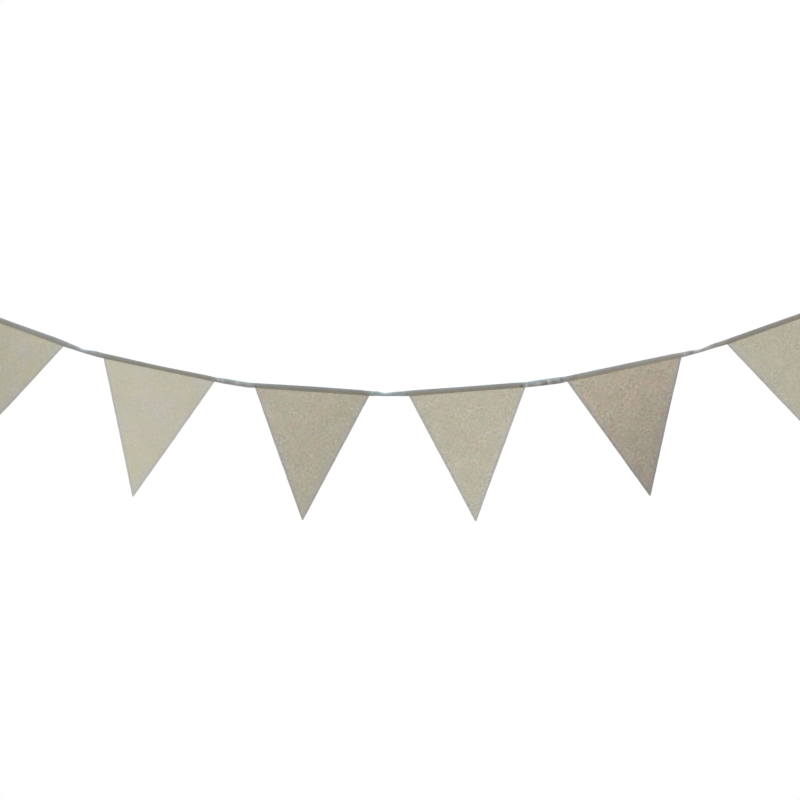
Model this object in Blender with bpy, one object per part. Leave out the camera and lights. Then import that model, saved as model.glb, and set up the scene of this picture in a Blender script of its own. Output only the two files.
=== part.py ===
"""A fabric bunting: six linen pennants sewn into a folded tape that hangs in a shallow curve.

Metres, +Z up. The tape runs along +X, the pennants hang towards -Z and their backs face +Y.
The origin is the middle of the left hanging loop's eye.
"""

import math
from collections import namedtuple

import bmesh
import bpy
from mathutils import Matrix, Vector

# The tape is a strip folded over the pennants' tops, so it has a front ply, a fold on top and a back ply.
TAPE_HEIGHT = 0.0095
TAPE_PLY = 0.0010
FOLD_RISE = 0.0012
CLEARANCE = 0.0003
CLOSED_SLOT = 0.0004

# The tape turns over BEND from each straight run to the next. Its tails slope at TAIL_DIP, in degrees.
BEND = 0.012
STRAIGHT_PAST_PENNANT = 0.005
TAIL = 0.045
TAIL_DIP = 24.0

# A pennant is doubled cloth with its edges turned in, and its top edge stands inside the tape.
PENNANT_THICKNESS = 0.0016
HEADING = 0.0082
TIP_WIDTH = 0.0018

# A hanging loop is a strip folded round the tape's end, with its eye past that end.
LOOP_PLY = 0.0012
LOOP_LEG = 0.025
LOOP_FLARE = math.radians(18.0)
LOOP_FLARE_RADIUS = 0.010
LOOP_STRAIGHT = 0.014

GAP_STEPS = 14
TAIL_STEPS = 6
FOLD_STEPS = 4
PENNANT_ROWS = 12
PENNANT_COLUMNS = 8
FLARE_STEPS = 3
EYE_STEPS = 14

# width: across the heading at the tape's lower edge. drop: from there to the tip. tip_shift: of the tip
# from the middle, to the right. dip: of the heading below the horizontal, going right. yaw: of the heading
# about the vertical. swing: of the tip to the back. curl: of the side edges to the back, half way down.
# twist: of the right edge to the back, half way down. Angles are in degrees.
Pennant = namedtuple("Pennant", "width drop tip_shift dip yaw swing curl twist")
PENNANTS = (
    Pennant(0.2000, 0.2285, 0.0010, 19.9, -1.0, 0.004, 0.0020, 0.0015),
    Pennant(0.2000, 0.2265, -0.0006, 11.8, 1.8, -0.003, 0.0025, -0.0010),
    Pennant(0.2030, 0.2258, -0.0028, 3.8, -1.4, 0.002, -0.0015, 0.0020),
    Pennant(0.2066, 0.2274, -0.0036, -4.4, 0.8, 0.003, 0.0020, 0.0010),
    Pennant(0.2061, 0.2273, -0.0036, -12.2, -1.6, -0.004, 0.0030, 0.0035),
    Pennant(0.2000, 0.2275, 0.0038, -19.5, 1.2, 0.003, 0.0015, -0.0015),
)

# length: between two pennants along the tape's lower edge. dip: of the tape's middle stretch there. lean:
# of the tape's fold to the back, where it turns most. lean_at: how far along the gap that is, as a share.
Gap = namedtuple("Gap", "length dip lean lean_at")
GAPS = (
    Gap(0.0731, 17.6, 50.0, 0.48),
    Gap(0.0719, 9.3, 12.0, 0.60),
    Gap(0.0693, 1.4, 50.0, 0.38),
    Gap(0.0740, -6.9, -8.0, 0.45),
    Gap(0.0828, -15.5, 52.0, 0.42),
)

# A place on the tape: the middle of its lower edge, and its directions along, to the back and up.
Station = namedtuple("Station", "distance place turn slot")
# A stretch of the tape, straight where it holds a pennant, by its distances from the tape's left end.
Run = namedtuple("Run", "start end steps")


def eased(knots, distance):
    """The value at this distance, easing from each (distance, value) knot to the next."""
    for (start, value), (end, next_value) in zip(knots, knots[1:]):
        if distance <= end:
            share = max(0.0, (distance - start) / (end - start))
            return value + (next_value - value) * share * share * (3.0 - 2.0 * share)
    return knots[-1][1]


def pennant_starts():
    """The distance along the tape at which each pennant's left corner lies."""
    starts = [TAIL]
    for pennant, gap in zip(PENNANTS, GAPS):
        starts.append(starts[-1] + pennant.width + gap.length)
    return starts


def tape_length():
    return pennant_starts()[-1] + PENNANTS[-1].width + TAIL


def tape_runs():
    """The tape's stretches in order: a tail, then pennants with the gaps between them, then a tail."""
    runs = []
    reached = 0.0
    steps = TAIL_STEPS
    for pennant, start in zip(PENNANTS, pennant_starts()):
        held_from = start - STRAIGHT_PAST_PENNANT
        held_to = start + pennant.width + STRAIGHT_PAST_PENNANT
        runs.append(Run(reached, held_from, steps))
        runs.append(Run(held_from, held_to, 1))
        reached = held_to
        steps = GAP_STEPS
    runs.append(Run(reached, tape_length(), TAIL_STEPS))
    return runs


def tape_knots():
    """How the tape lies: knots of its dip, yaw, lean and slot along its length."""
    between = [math.radians(dip) for dip in (TAIL_DIP, *(gap.dip for gap in GAPS), -TAIL_DIP)]
    first_yaw = math.radians(PENNANTS[0].yaw)
    open_slot = PENNANT_THICKNESS + 2.0 * CLEARANCE
    dips = [(0.0, between[0])]
    yaws = [(0.0, first_yaw)]
    leans = [(0.0, 0.0)]
    slots = [(0.0, CLOSED_SLOT)]
    for number, (pennant, start) in enumerate(zip(PENNANTS, pennant_starts())):
        held_from = start - STRAIGHT_PAST_PENNANT
        held_to = start + pennant.width + STRAIGHT_PAST_PENNANT
        dip = math.radians(pennant.dip)
        yaw = math.radians(pennant.yaw)
        dips += [(held_from - BEND, between[number]), (held_from, dip)]
        dips += [(held_to, dip), (held_to + BEND, between[number + 1])]
        yaws += [(held_from, yaw), (held_to, yaw)]
        leans += [(held_from, 0.0), (held_to, 0.0)]
        slots += [(held_from - BEND, CLOSED_SLOT), (held_from, open_slot)]
        slots += [(held_to, open_slot), (held_to + BEND, CLOSED_SLOT)]
        if number < len(GAPS):
            gap = GAPS[number]
            leans.append((start + pennant.width + gap.length * gap.lean_at, math.radians(gap.lean)))
    dips.append((tape_length(), between[-1]))
    return dips, yaws, leans, slots


def turned(dip, yaw, lean):
    """The rotation whose columns are the tape's directions along, to the back and up."""
    return Matrix.Rotation(yaw, 3, "Z") @ Matrix.Rotation(dip, 3, "Y") @ Matrix.Rotation(-lean, 3, "X")


def eye_middle():
    """How far past the tape's end the middle of a loop's eye lies."""
    straight_end = LOOP_FLARE_RADIUS * math.sin(LOOP_FLARE) + LOOP_STRAIGHT * math.cos(LOOP_FLARE)
    return straight_end + eye_radius() * math.sin(LOOP_FLARE)


def eye_radius():
    """The radius of the loop's round end that makes its two legs close round the tape."""
    leg_back = CLOSED_SLOT / 2.0 + TAPE_PLY + CLEARANCE + LOOP_PLY / 2.0
    flare = LOOP_FLARE_RADIUS * (1.0 - math.cos(LOOP_FLARE)) + LOOP_STRAIGHT * math.sin(LOOP_FLARE)
    return (leg_back + flare) / math.cos(LOOP_FLARE)


def tape_stations():
    """The tape's stations from its left end, walked so that the left loop's eye is at the origin."""
    dips, yaws, leans, slots = tape_knots()

    def turn_at(distance):
        return turned(eased(dips, distance), eased(yaws, distance), eased(leans, distance))

    start = turn_at(0.0)
    place = start.col[0] * eye_middle() - start.col[2] * TAPE_HEIGHT / 2.0
    stations = [Station(0.0, place, start, eased(slots, 0.0))]
    for run in tape_runs():
        step = (run.end - run.start) / run.steps
        for number in range(run.steps):
            middle = run.start + step * (number + 0.5)
            distance = run.start + step * (number + 1)
            place = place + turn_at(middle).col[0] * step
            stations.append(Station(distance, place, turn_at(distance), eased(slots, distance)))
    return stations


def tape_section(slot):
    """The folded tape's outline as (back, up) pairs, from the foot of its front ply, over and back inside."""
    inner = slot / 2.0
    outer = inner + TAPE_PLY
    spring = TAPE_HEIGHT - FOLD_RISE
    points = [(-outer, 0.0)]
    for number in range(FOLD_STEPS + 1):
        angle = math.pi * (1.0 - number / FOLD_STEPS)
        points.append((outer * math.cos(angle), spring + FOLD_RISE * math.sin(angle)))
    points += [(outer, 0.0), (inner, 0.0)]
    points += [(inner, TAPE_HEIGHT - TAPE_PLY), (-inner, TAPE_HEIGHT - TAPE_PLY), (-inner, 0.0)]
    return points


def material(name, colour, roughness):
    made = bpy.data.materials.new(name)
    made.use_nodes = True
    surface = made.node_tree.nodes["Principled BSDF"]
    surface.inputs["Base Color"].default_value = (*colour, 1.0)
    surface.inputs["Roughness"].default_value = roughness
    surface.inputs["Metallic"].default_value = 0.0
    return made


def add_object(name, shape, cloth):
    mesh = bpy.data.meshes.new(name)
    shape.to_mesh(mesh)
    shape.free()
    mesh.materials.append(cloth)
    made = bpy.data.objects.new(name, mesh)
    bpy.context.scene.collection.objects.link(made)
    return made


def thicken(made, thickness):
    """Gives a middle surface its thickness, half to each side."""
    solidify = made.modifiers.new("thickness", "SOLIDIFY")
    solidify.thickness = thickness
    solidify.offset = 0.0
    solidify.use_even_offset = True


def add_tape(stations, cloth):
    """Sweeps the folded section along the stations. Each ply's faces are cut the same way, so it twists as one."""
    shape = bmesh.new()
    section_size = len(tape_section(CLOSED_SLOT))
    rings = []
    for station in stations:
        ring = []
        for back, up in tape_section(station.slot):
            point = station.place + station.turn.col[1] * back + station.turn.col[2] * up
            ring.append(shape.verts.new(point))
        rings.append(ring)
    climbs = [up for _, up in tape_section(CLOSED_SLOT)]
    for ring, next_ring in zip(rings, rings[1:]):
        for here in range(section_size):
            there = (here + 1) % section_size
            a, b = ring[here], ring[there]
            c, d = next_ring[there], next_ring[here]
            if climbs[there] > climbs[here]:
                shape.faces.new((a, b, c))
                shape.faces.new((a, c, d))
            else:
                shape.faces.new((a, b, d))
                shape.faces.new((b, c, d))
    shape.faces.new(reversed(rings[0]))
    shape.faces.new(rings[-1])
    bmesh.ops.recalc_face_normals(shape, faces=shape.faces)
    made = add_object("tape", shape, cloth)
    made.data.shade_smooth()
    made.data.set_sharp_from_angle(angle=math.radians(40.0))


def pennant_point(pennant, across, down):
    """A point of the pennant's middle surface: x along its heading, y to the back and z up.

    across goes from -1 at the left edge to 1 at the right edge. down is measured from the tape's lower
    edge, and is negative inside the tape, where the pennant is flat.
    """
    share = down / pennant.drop
    half = pennant.width / 2.0 * (1.0 - share) + TIP_WIDTH / 2.0 * share
    along = pennant.width / 2.0 + pennant.tip_shift * share + across * half
    hang = max(0.0, share)
    belly = math.sin(math.pi * hang) ** 2
    back = pennant.swing * hang**2 + belly * (pennant.curl * across**2 + pennant.twist * across)
    return Vector((along, back, -down))


def add_pennant(number, pennant, stations, cloth):
    """Hangs a pennant on the straight run of tape that holds it."""
    downs = [-HEADING] + [pennant.drop * row / PENNANT_ROWS for row in range(PENNANT_ROWS + 1)]
    shape = bmesh.new()
    rows = []
    for down in downs:
        row = []
        for column in range(PENNANT_COLUMNS + 1):
            across = 2.0 * column / PENNANT_COLUMNS - 1.0
            row.append(shape.verts.new(pennant_point(pennant, across, down)))
        rows.append(row)
    for upper, lower in zip(rows, rows[1:]):
        for column in range(PENNANT_COLUMNS):
            shape.faces.new((upper[column], lower[column], lower[column + 1], upper[column + 1]))
    made = add_object(f"pennant_{number + 1}", shape, cloth)
    thicken(made, PENNANT_THICKNESS)
    held_from = pennant_starts()[number] - STRAIGHT_PAST_PENNANT
    station = min(stations, key=lambda one: abs(one.distance - held_from))
    corner = station.place + station.turn.col[0] * STRAIGHT_PAST_PENNANT
    made.matrix_world = Matrix.Translation(corner) @ station.turn.to_4x4()


def loop_line():
    """The middle line of a loop as (outwards, back) pairs: a leg, a flare, the round eye and back again."""
    leg_back = CLOSED_SLOT / 2.0 + TAPE_PLY + CLEARANCE + LOOP_PLY / 2.0
    points = [(-LOOP_LEG, leg_back)]
    for number in range(FLARE_STEPS + 1):
        angle = LOOP_FLARE * number / FLARE_STEPS
        rise = LOOP_FLARE_RADIUS * (1.0 - math.cos(angle))
        points.append((LOOP_FLARE_RADIUS * math.sin(angle), leg_back + rise))
    half_turn = math.pi / 2.0 + LOOP_FLARE
    for number in range(EYE_STEPS // 2):
        angle = half_turn * (1.0 - 2.0 * number / EYE_STEPS)
        points.append((eye_middle() + eye_radius() * math.cos(angle), eye_radius() * math.sin(angle)))
    tip = (eye_middle() + eye_radius(), 0.0)
    return points + [tip] + [(out, -back) for out, back in reversed(points)]


def add_loop(name, station, facing, cloth):
    """Folds a hanging loop round the tape's end. facing turns its eye outwards, about the tape's height."""
    shape = bmesh.new()
    pairs = []
    for out, back in loop_line():
        pairs.append((shape.verts.new((out, back, 0.0)), shape.verts.new((out, back, TAPE_HEIGHT))))
    for (low, high), (next_low, next_high) in zip(pairs, pairs[1:]):
        shape.faces.new((low, next_low, next_high, high))
    made = add_object(name, shape, cloth)
    thicken(made, LOOP_PLY)
    made.data.shade_smooth()
    turn = station.turn @ Matrix.Rotation(facing, 3, "Z")
    made.matrix_world = Matrix.Translation(station.place) @ turn.to_4x4()


def build():
    for old in list(bpy.context.scene.objects):
        bpy.data.objects.remove(old, do_unlink=True)
    linen = material("linen", (0.50, 0.47, 0.36), 0.90)
    grey_tape = material("grey_tape", (0.26, 0.26, 0.25), 0.75)
    stations = tape_stations()
    add_tape(stations, grey_tape)
    for number, pennant in enumerate(PENNANTS):
        add_pennant(number, pennant, stations, linen)
    add_loop("loop_left", stations[0], math.pi, grey_tape)
    add_loop("loop_right", stations[-1], 0.0, grey_tape)


build()
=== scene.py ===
"""The looks of the fabric bunting: linen pennants with stitched edges, sewn into a folded grey tape.

Metres and the CAD model's frame: the tape runs along +X, the pennants hang towards -Z, backs face +Y.
"""

import math
import random
from collections import namedtuple

import bpy
import numpy as np
from mathutils import Matrix, Vector, noise


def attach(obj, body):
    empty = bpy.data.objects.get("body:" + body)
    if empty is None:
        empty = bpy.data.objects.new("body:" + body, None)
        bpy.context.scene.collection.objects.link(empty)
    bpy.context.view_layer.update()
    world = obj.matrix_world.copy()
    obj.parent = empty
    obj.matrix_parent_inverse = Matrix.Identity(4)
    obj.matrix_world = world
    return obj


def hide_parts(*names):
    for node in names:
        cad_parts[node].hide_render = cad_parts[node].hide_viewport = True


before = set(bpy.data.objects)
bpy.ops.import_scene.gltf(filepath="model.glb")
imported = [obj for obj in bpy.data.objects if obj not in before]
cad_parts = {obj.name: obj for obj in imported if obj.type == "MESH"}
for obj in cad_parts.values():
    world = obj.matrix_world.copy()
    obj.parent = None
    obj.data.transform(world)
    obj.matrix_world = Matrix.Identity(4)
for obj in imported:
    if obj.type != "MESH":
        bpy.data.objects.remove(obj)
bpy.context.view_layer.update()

MM = 0.001

# These repeat the values that the CAD model was built from.
TAPE_HEIGHT = 9.5 * MM
BEND = 12.0 * MM
STRAIGHT_PAST_PENNANT = 5.0 * MM
TAIL = 45.0 * MM
TAIL_DIP = 24.0
TIP_WIDTH = 1.8 * MM
CAD_LEG_BACK = 2.1 * MM
LOOP_LEG = 25.0 * MM
LOOP_FLARE = math.radians(18.0)
LOOP_FLARE_RADIUS = 10.0 * MM
LOOP_STRAIGHT = 14.0 * MM

# width: across the heading at the tape's lower edge. drop: from there to the tip. tip_shift: of the tip
# from the middle, to the right. dip: of the heading below the horizontal, going right. yaw: of the heading
# about the vertical. swing: of the tip to the back. curl: of the side edges to the back, half way down.
# twist: of the right edge to the back, half way down. Angles are in degrees.
Pennant = namedtuple("Pennant", "width drop tip_shift dip yaw swing curl twist")
PENNANTS = (
    Pennant(0.2000, 0.2285, 0.0010, 19.9, -1.0, 0.004, 0.0020, 0.0015),
    Pennant(0.2000, 0.2265, -0.0006, 11.8, 1.8, -0.003, 0.0025, -0.0010),
    Pennant(0.2030, 0.2258, -0.0028, 3.8, -1.4, 0.002, -0.0015, 0.0020),
    Pennant(0.2066, 0.2274, -0.0036, -4.4, 0.8, 0.003, 0.0020, 0.0010),
    Pennant(0.2061, 0.2273, -0.0036, -12.2, -1.6, -0.004, 0.0030, 0.0035),
    Pennant(0.2000, 0.2275, 0.0038, -19.5, 1.2, 0.003, 0.0015, -0.0015),
)

# length: between two pennants along the tape's lower edge. dip: of the tape's middle stretch there. lean:
# of the tape's fold to the back, where it turns most. lean_at: how far along the gap that is, as a share.
Gap = namedtuple("Gap", "length dip lean lean_at")
GAPS = (
    Gap(0.0731, 17.6, 50.0, 0.48),
    Gap(0.0719, 9.3, 12.0, 0.60),
    Gap(0.0693, 1.4, 50.0, 0.38),
    Gap(0.0740, -6.9, -8.0, 0.45),
    Gap(0.0828, -15.5, 52.0, 0.42),
)

# The tape is thin cloth, pressed flat on itself in the gaps and swelling softly above its stitches.
PLY = 0.50 * MM
SLOT_CLOSED = 0.10 * MM
SLOT_OPEN = 1.30 * MM
FOLD_RISE = 1.1 * MM
SEAM_UP = 1.8 * MM
SEAM_PULL = 0.10 * MM
SEAM_PULL_WIDTH = 0.45 * MM
# The share of that pull on the mean, and how much it changes along each stitch.
SEAM_MEAN_PULL = 0.7
SEAM_PULL_CHANGE = 0.3
FOOT_FLARE = 0.12 * MM
FOOT_ROUND = PLY / 5.0
SWELL = 0.30 * MM
SWELL_UNEVEN = 0.8
SWELLS_PER_METRE = 45.0
TAPE_SEED = 11
LOOP_SEED = 21
LEG_UPS = [up * MM for up in (0.1, 0.6, 1.1, 1.45, 1.8, 2.15, 2.6, 3.4, 4.6, 5.9, 7.2)]
INNER_UPS = [up * MM for up in (0.3, 1.8, 4.6)]
FOLD_STEPS = 8
STRIP_STEP = 1.0 * MM

# The tape isn't folded exactly in half. These shares of its height are at the left, middle and right of each
# pennant, and at both ends of each gap's middle.
HEIGHTS_OVER_PENNANT = (
    (0.94, 0.95, 0.99), (0.92, 0.76, 0.84), (0.89, 0.96, 0.89),
    (1.00, 0.945, 0.95), (1.01, 0.975, 0.90), (0.90, 0.90, 0.84),
)
HEIGHTS_IN_GAP = (
    (0.84, 0.98), (0.98, 0.95), (0.85, 0.86),
    (1.09, 1.18), (0.83, 0.84),
)
GAP_MIDDLE = (0.22, 0.78)
# At a pennant's right corner it droops, and further on it lies a little off its line in the CAD model.
DROOP_AT_CORNER = [droop * MM for droop in (0.7, 0.4, 0.7, 0.6, 0.7)]
DROOP_FROM = 22.0 * MM
DROOP_PAST = 4.0 * MM
LIFTS_IN_GAP = [(left * MM, right * MM) for left, right in (
    (-0.2, 0.0), (-0.6, -0.6), (0.2, 0.6), (-0.6, -0.6), (-0.1, 0.6),
)]
# Its colour changes this gradually at a pennant's corners, and has these factors. Its top has some more,
# which tune the painted light on its top.
TINT_EASE = 13.0 * MM
TINT_OVER_PENNANT = (
    (1.01, 1.02, 1.05), (0.96, 0.96, 0.96), (0.86, 0.86, 0.86),
    (0.95, 0.94, 0.93), (1.07, 1.04, 1.03), (0.98, 0.97, 0.96),
)
TOP_TINT_OVER_PENNANT = (
    (0.98, 0.95, 0.92), (0.99, 0.94, 0.87), (1.02, 1.02, 1.01),
    (1.02, 1.02, 1.01), (1.00, 0.99, 0.97), (1.01, 0.93, 0.85),
)
TINT_IN_GAP = (
    (0.95, 0.95, 0.97), (1.02, 1.01, 1.00), (0.97, 1.03, 1.00),
    (0.99, 0.97, 0.97), (1.01, 0.96, 0.90),
)
TOP_TINT_IN_GAP = (
    (0.92, 0.88, 0.87), (0.96, 0.96, 0.96), (0.98, 1.00, 1.00),
    (1.00, 1.00, 1.00), (1.00, 0.94, 0.91),
)

# Marks are spots painted lighter, as glints where the tape creases and catches the light, and darker, as
# shade in its folds. A mark's columns: how far past its gap's left end, how high as a share of the tape's
# height, how long, how much lighter than the tape, and how its hue leans.
PLAIN = (1.0, 1.0, 1.0)
Mark = namedtuple("Mark", "gap past high long lighter hue", defaults=[PLAIN])
COOL = (0.4, 1.0, 1.4)
WARM = (1.25, 0.95, 0.70)
TEAL = (-0.4, 0.6, 1.2)
GLINT_AND_SHADE_MARKS = [Mark(*row) for row in (
    (0, 0.008, 0.55, 0.004, 0.14),
    (0, 0.031, 0.60, 0.003, 0.30),
    (0, 0.044, 0.30, 0.004, -0.18),
    (1, 0.005, 0.60, 0.002, 0.45),
    (1, 0.013, 0.55, 0.002, 0.42),
    (1, 0.023, 0.45, 0.007, -0.12),
    (1, 0.040, 0.60, 0.003, 0.32),
    (1, 0.050, 0.35, 0.004, -0.16),
    (1, 0.073, 0.35, 0.002, -0.40),
    (2, 0.004, 0.55, 0.002, 0.34, COOL),
    (2, 0.024, 0.70, 0.008, 0.20, COOL),
    (2, 0.042, 0.30, 0.003, -0.26),
    (2, 0.056, 0.75, 0.006, -0.22),
    (2, 0.066, 0.40, 0.003, -0.30),
    (3, -0.007, 0.25, 0.002, -0.60),
    (3, 0.002, 0.35, 0.002, 0.95),
    (3, 0.028, 0.78, 0.009, -0.20),
    (3, 0.016, 0.95, 0.016, 0.22, TEAL),
    (3, 0.024, 0.42, 0.006, 0.44, WARM),
    (3, 0.030, 0.15, 0.004, -0.46),
    (3, 0.037, 0.35, 0.002, -0.66),
    (3, 0.041, 0.60, 0.003, 0.60, WARM),
    (3, 0.052, 0.30, 0.003, -0.34),
    (3, 0.056, 0.80, 0.005, 0.26),
    (3, 0.065, 0.55, 0.003, -0.48),
    (4, 0.006, 0.55, 0.003, 0.46),
    (4, 0.018, 0.35, 0.004, -0.26),
    (4, 0.027, 0.60, 0.003, 0.20),
    (4, 0.040, 0.40, 0.005, -0.20),
    (4, 0.060, 0.70, 0.008, -0.14),
)]
MARK_TALL = 0.30
MARK_REACH = 3.0

# A crease runs across the tape, past its gap's left end, with its top slant further along than its foot.
Crease = namedtuple("Crease", "gap past slant rise width")
CREASES = [Crease(*row) for row in (
    (0, 0.030, -0.006, 0.30 * MM, 1.6 * MM),
    (0, 0.052, 0.005, 0.25 * MM, 1.4 * MM),
    (1, 0.020, 0.004, 0.25 * MM, 1.5 * MM),
    (2, 0.046, 0.006, 0.25 * MM, 1.5 * MM),
    (3, 0.009, -0.004, 0.85 * MM, 1.5 * MM),
    (3, 0.036, 0.005, 0.90 * MM, 1.7 * MM),
    (3, 0.045, -0.003, 0.75 * MM, 1.4 * MM),
    (4, 0.024, -0.005, 0.30 * MM, 1.6 * MM),
)]

# How far each pennant's cloth ends past the tip of its solid: to the right and down.
TIP_PAST_MM = ((0.0, 0.0), (1.2, 1.7), (0.5, 2.0), (1.1, 2.4), (0.5, 0.2), (0.0, 0.0))

# A pennant is doubled cloth. Its side edges are turned in and stitched, and its top is pressed in the tape.
HEADING = 6.0 * MM
HEADING_ROWS = 4
PRESSED_HALF = 0.50 * MM
FREE_HALF = 0.74 * MM
FREE_BELOW = 7.0 * MM
EDGE_ROUND = 0.7 * MM
EDGE_SEAM_IN = 3.5 * MM
EDGE_SEAM_DEPTH = 0.24 * MM
EDGE_SEAM_WIDTH = 0.50 * MM
EDGE_ROLL = 0.13 * MM
EDGE_ROLL_IN = 1.7 * MM
EDGE_ROLL_WIDTH = 1.2 * MM
ALLOWANCE = 0.10 * MM
ALLOWANCE_ENDS = 9.0 * MM
EDGE_COLUMNS_MM = (0, 0.12, 0.35, 0.7, 1.2, 1.8, 2.4, 2.8, 3.15, 3.5, 3.85, 4.2, 4.9, 6, 7.5, 9.5)
EDGE_COLUMNS = [inward * MM for inward in EDGE_COLUMNS_MM]
EDGE_ROOM = 1.1
MIDDLE_COLUMNS = 42
ROW_STEP = 2.2 * MM
TIP_ROUND = 1.6 * MM
TIP_STEPS = 6
# The last row is this part of a step short of the tip's very end, so that it isn't a point.
TIP_SHORT = 0.3
RIPPLE = 0.9 * MM
RIPPLES_PER_METRE = 11.0
FINE_RIPPLE = 0.16 * MM
FINE_RIPPLES_PER_METRE = 55.0
# Below the tape the ripples grow to their full depth over one part in this many of the drop.
RIPPLE_GROWTH = 3.0
FINE_RIPPLE_GROWTH = 12.0
PUCKER = 0.14 * MM
PUCKERS_PER_METRE = 120.0
PUCKERS_ACROSS_PER_METRE = 10.0
EDGE_WANDER = 0.18 * MM

# Stitches are short bowed threads that dive into the cloth at both ends.
STITCH_PITCH = 3.0 * MM
STITCH_LENGTH = 2.45 * MM
EDGE_STITCH_HALF = STITCH_LENGTH / 2.2
THREAD_RADIUS = 0.17 * MM
STITCH_BOW = 0.12 * MM
STITCH_JITTER = 0.10 * MM
STITCH_SEED = 4
STITCH_SHARES = (0.0, 0.12, 0.5, 0.88, 1.0)
STITCH_SWELLS = (0.35, 0.9, 1.0, 0.9, 0.35)
THREAD_SIDES = 6
TAPE_SEAM_ENDS = 2.0 * MM
LOOP_SEAM_ENDS = 1.0 * MM
EDGE_SEAM_FROM_TOP = 4.0 * MM
EDGE_SEAM_FROM_TIP = 6.0 * MM
BAR_TACKS_IN = (4.0 * MM, 20.5 * MM)
BAR_TACK_STITCHES = 14
BAR_TACK_WIDTH = 2.2 * MM
LEG_SETTLE = 0.55 * MM
LEG_SETTLE_OVER = 9.0 * MM

# A place on the tape or a loop: the middle of its lower edge, and its directions along, back and up.
Station = namedtuple("Station", "distance place turn")
Stitch = namedtuple("Stitch", "start end normal")


def eased(knots, distance):
    """The number or Vector at this distance, easing from each (distance, value) knot to the next."""
    for (start, value), (end, next_value) in zip(knots, knots[1:]):
        if distance <= end:
            share = max(0.0, (distance - start) / (end - start))
            return value + (next_value - value) * share * share * (3.0 - 2.0 * share)
    return knots[-1][1]


def smooth(share):
    """0 up to 0, 1 from 1, and an easy curve between them."""
    share = min(1.0, max(0.0, share))
    return share * share * (3.0 - 2.0 * share)


def hump(distance, width):
    """A soft ridge, 1 at its middle."""
    return math.exp(-((distance / width) ** 2))


def uneven(x, y, seed):
    """Smooth noise from about -1 to 1 that is the same on every run."""
    return 2.0 * noise.noise(Vector((x, y, 7.3 * seed + 0.5)))


def pennant_starts():
    """The distance along the tape at which each pennant's left corner lies."""
    starts = [TAIL]
    for pennant, gap in zip(PENNANTS, GAPS):
        starts.append(starts[-1] + pennant.width + gap.length)
    return starts


def tape_length():
    return pennant_starts()[-1] + PENNANTS[-1].width + TAIL


def tape_knots():
    """How the tape lies: knots of its dip, yaw and lean along its length, as in the CAD model."""
    between = [math.radians(dip) for dip in (TAIL_DIP, *(gap.dip for gap in GAPS), -TAIL_DIP)]
    dips = [(0.0, between[0])]
    yaws = [(0.0, math.radians(PENNANTS[0].yaw))]
    leans = [(0.0, 0.0)]
    for number, (pennant, start) in enumerate(zip(PENNANTS, pennant_starts())):
        held_from = start - STRAIGHT_PAST_PENNANT
        held_to = start + pennant.width + STRAIGHT_PAST_PENNANT
        dip = math.radians(pennant.dip)
        yaw = math.radians(pennant.yaw)
        dips += [(held_from - BEND, between[number]), (held_from, dip)]
        dips += [(held_to, dip), (held_to + BEND, between[number + 1])]
        yaws += [(held_from, yaw), (held_to, yaw)]
        leans += [(held_from, 0.0), (held_to, 0.0)]
        if number < len(GAPS):
            gap = GAPS[number]
            leans.append((start + pennant.width + gap.length * gap.lean_at, math.radians(gap.lean)))
    dips.append((tape_length(), between[-1]))
    return dips, yaws, leans


def turned(dip, yaw, lean):
    """The rotation whose columns are the tape's directions along, to the back and up."""
    return Matrix.Rotation(yaw, 3, "Z") @ Matrix.Rotation(dip, 3, "Y") @ Matrix.Rotation(-lean, 3, "X")


def eye_radius():
    """The radius of a loop's round end."""
    flare = LOOP_FLARE_RADIUS * (1.0 - math.cos(LOOP_FLARE)) + LOOP_STRAIGHT * math.sin(LOOP_FLARE)
    return (CAD_LEG_BACK + flare) / math.cos(LOOP_FLARE)


def eye_middle():
    """How far past the tape's end the middle of a loop's eye lies."""
    straight_end = LOOP_FLARE_RADIUS * math.sin(LOOP_FLARE) + LOOP_STRAIGHT * math.cos(LOOP_FLARE)
    return straight_end + eye_radius() * math.sin(LOOP_FLARE)


def tape_stations():
    """The tape's stations from its left end, walked so that the left loop's eye is at the origin."""
    dips, yaws, leans = tape_knots()

    def turn_at(distance):
        return turned(eased(dips, distance), eased(yaws, distance), eased(leans, distance))

    count = round(tape_length() / STRIP_STEP)
    step = tape_length() / count
    start = turn_at(0.0)
    place = start.col[0] * eye_middle() - start.col[2] * TAPE_HEIGHT / 2.0
    stations = [Station(0.0, place, start)]
    for number in range(count):
        place = place + turn_at(step * (number + 0.5)).col[0] * step
        distance = step * (number + 1)
        stations.append(Station(distance, place, turn_at(distance)))
    return stations


def corners():
    """How far along the tape each pennant's left and right corners lie."""
    return [(start, start + pennant.width) for pennant, start in zip(PENNANTS, pennant_starts())]


def gap_knots(number, in_gaps):
    """Knots of a gap's two values, at both ends of its middle; none follow the last pennant."""
    if number == len(GAPS):
        return []
    start = corners()[number][1]
    return [(start + share * GAPS[number].length, value) for share, value in zip(GAP_MIDDLE, in_gaps[number])]


def ramp_knots(low, high, outside, inside):
    """Knots that ease from low, this far outside each pennant's corners, to high, this far inside them."""
    knots = [(0.0, low)]
    for start, end in corners():
        knots += [(start - outside, low), (start + inside, high), (end - inside, high), (end + outside, low)]
    return knots


def height_knots():
    """How tall the tape is along it, as a share of its height in the CAD model."""
    knots = [(0.0, 1.0)]
    for number, (start, end) in enumerate(corners()):
        knots += zip((start, (start + end) / 2.0, end), HEIGHTS_OVER_PENNANT[number])
        knots += gap_knots(number, HEIGHTS_IN_GAP)
    return knots + [(tape_length(), 1.0)]


def lift_knots():
    """How far the tape lies over its line in the CAD model: it droops at each corner that a gap follows."""
    knots = [(0.0, 0.0)]
    for number, droop in enumerate(DROOP_AT_CORNER):
        end = corners()[number][1]
        knots += [(end - DROOP_FROM, 0.0), (end + DROOP_PAST, -droop)]
        knots += gap_knots(number, LIFTS_IN_GAP)
        knots.append((end + GAPS[number].length, 0.0))
    return knots


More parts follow.
